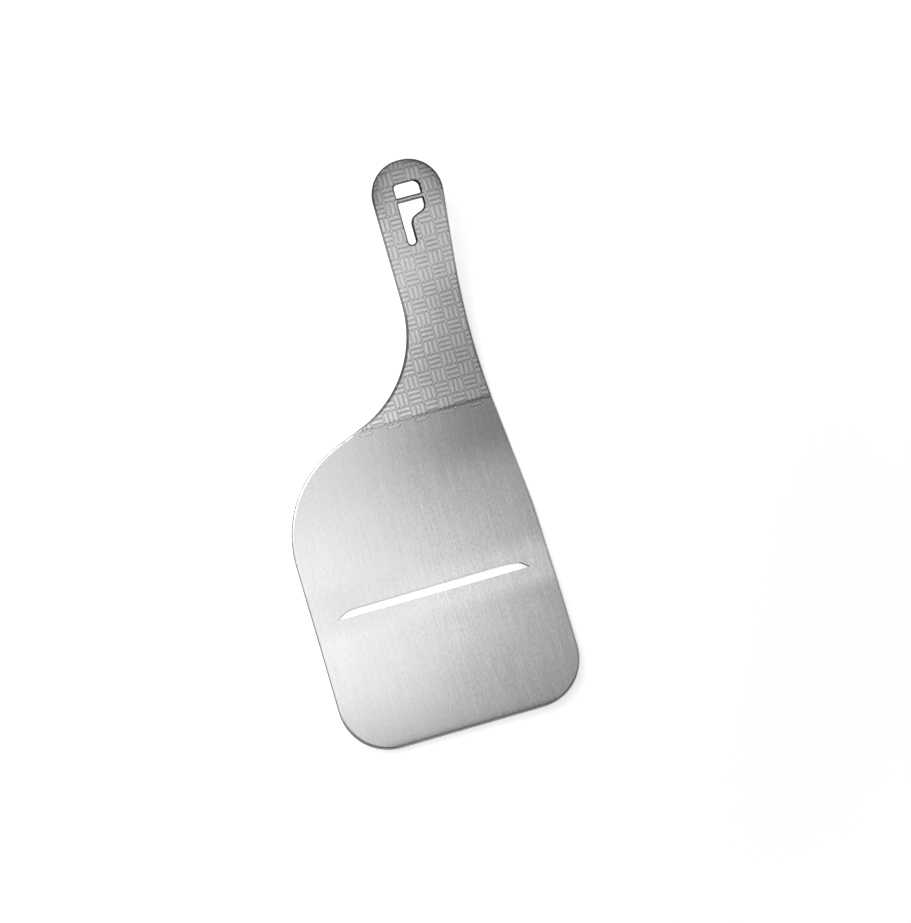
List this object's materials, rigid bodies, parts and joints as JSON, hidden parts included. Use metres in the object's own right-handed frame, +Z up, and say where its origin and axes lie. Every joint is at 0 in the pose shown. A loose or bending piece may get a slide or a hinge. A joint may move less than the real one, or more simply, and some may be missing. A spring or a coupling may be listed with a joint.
{
  "type": "truffle slicer",
  "caption": "Paddle-shaped truffle slicer pressed from brushed steel sheet, with a cranked handle, a hanging hole and a slicing slot across its head.",
  "frame": {"origin": "on the surface the tool lies on, under the middle of its length and width", "axes": "+Y along the tool from the far end of the head to the end of the handle, +Z up, away from the surface, on the working side, +X to the right with the handle away from the viewer"},
  "size_m": [0.0786, 0.18, 0.0153],
  "materials": {
    "brushed_sheet": "fine brushing along the tool, satin, edges rounded"
  },
  "bodies": {
    "root": {"slicer_plate": "brushed_sheet"}
  },
  "joints": []
}
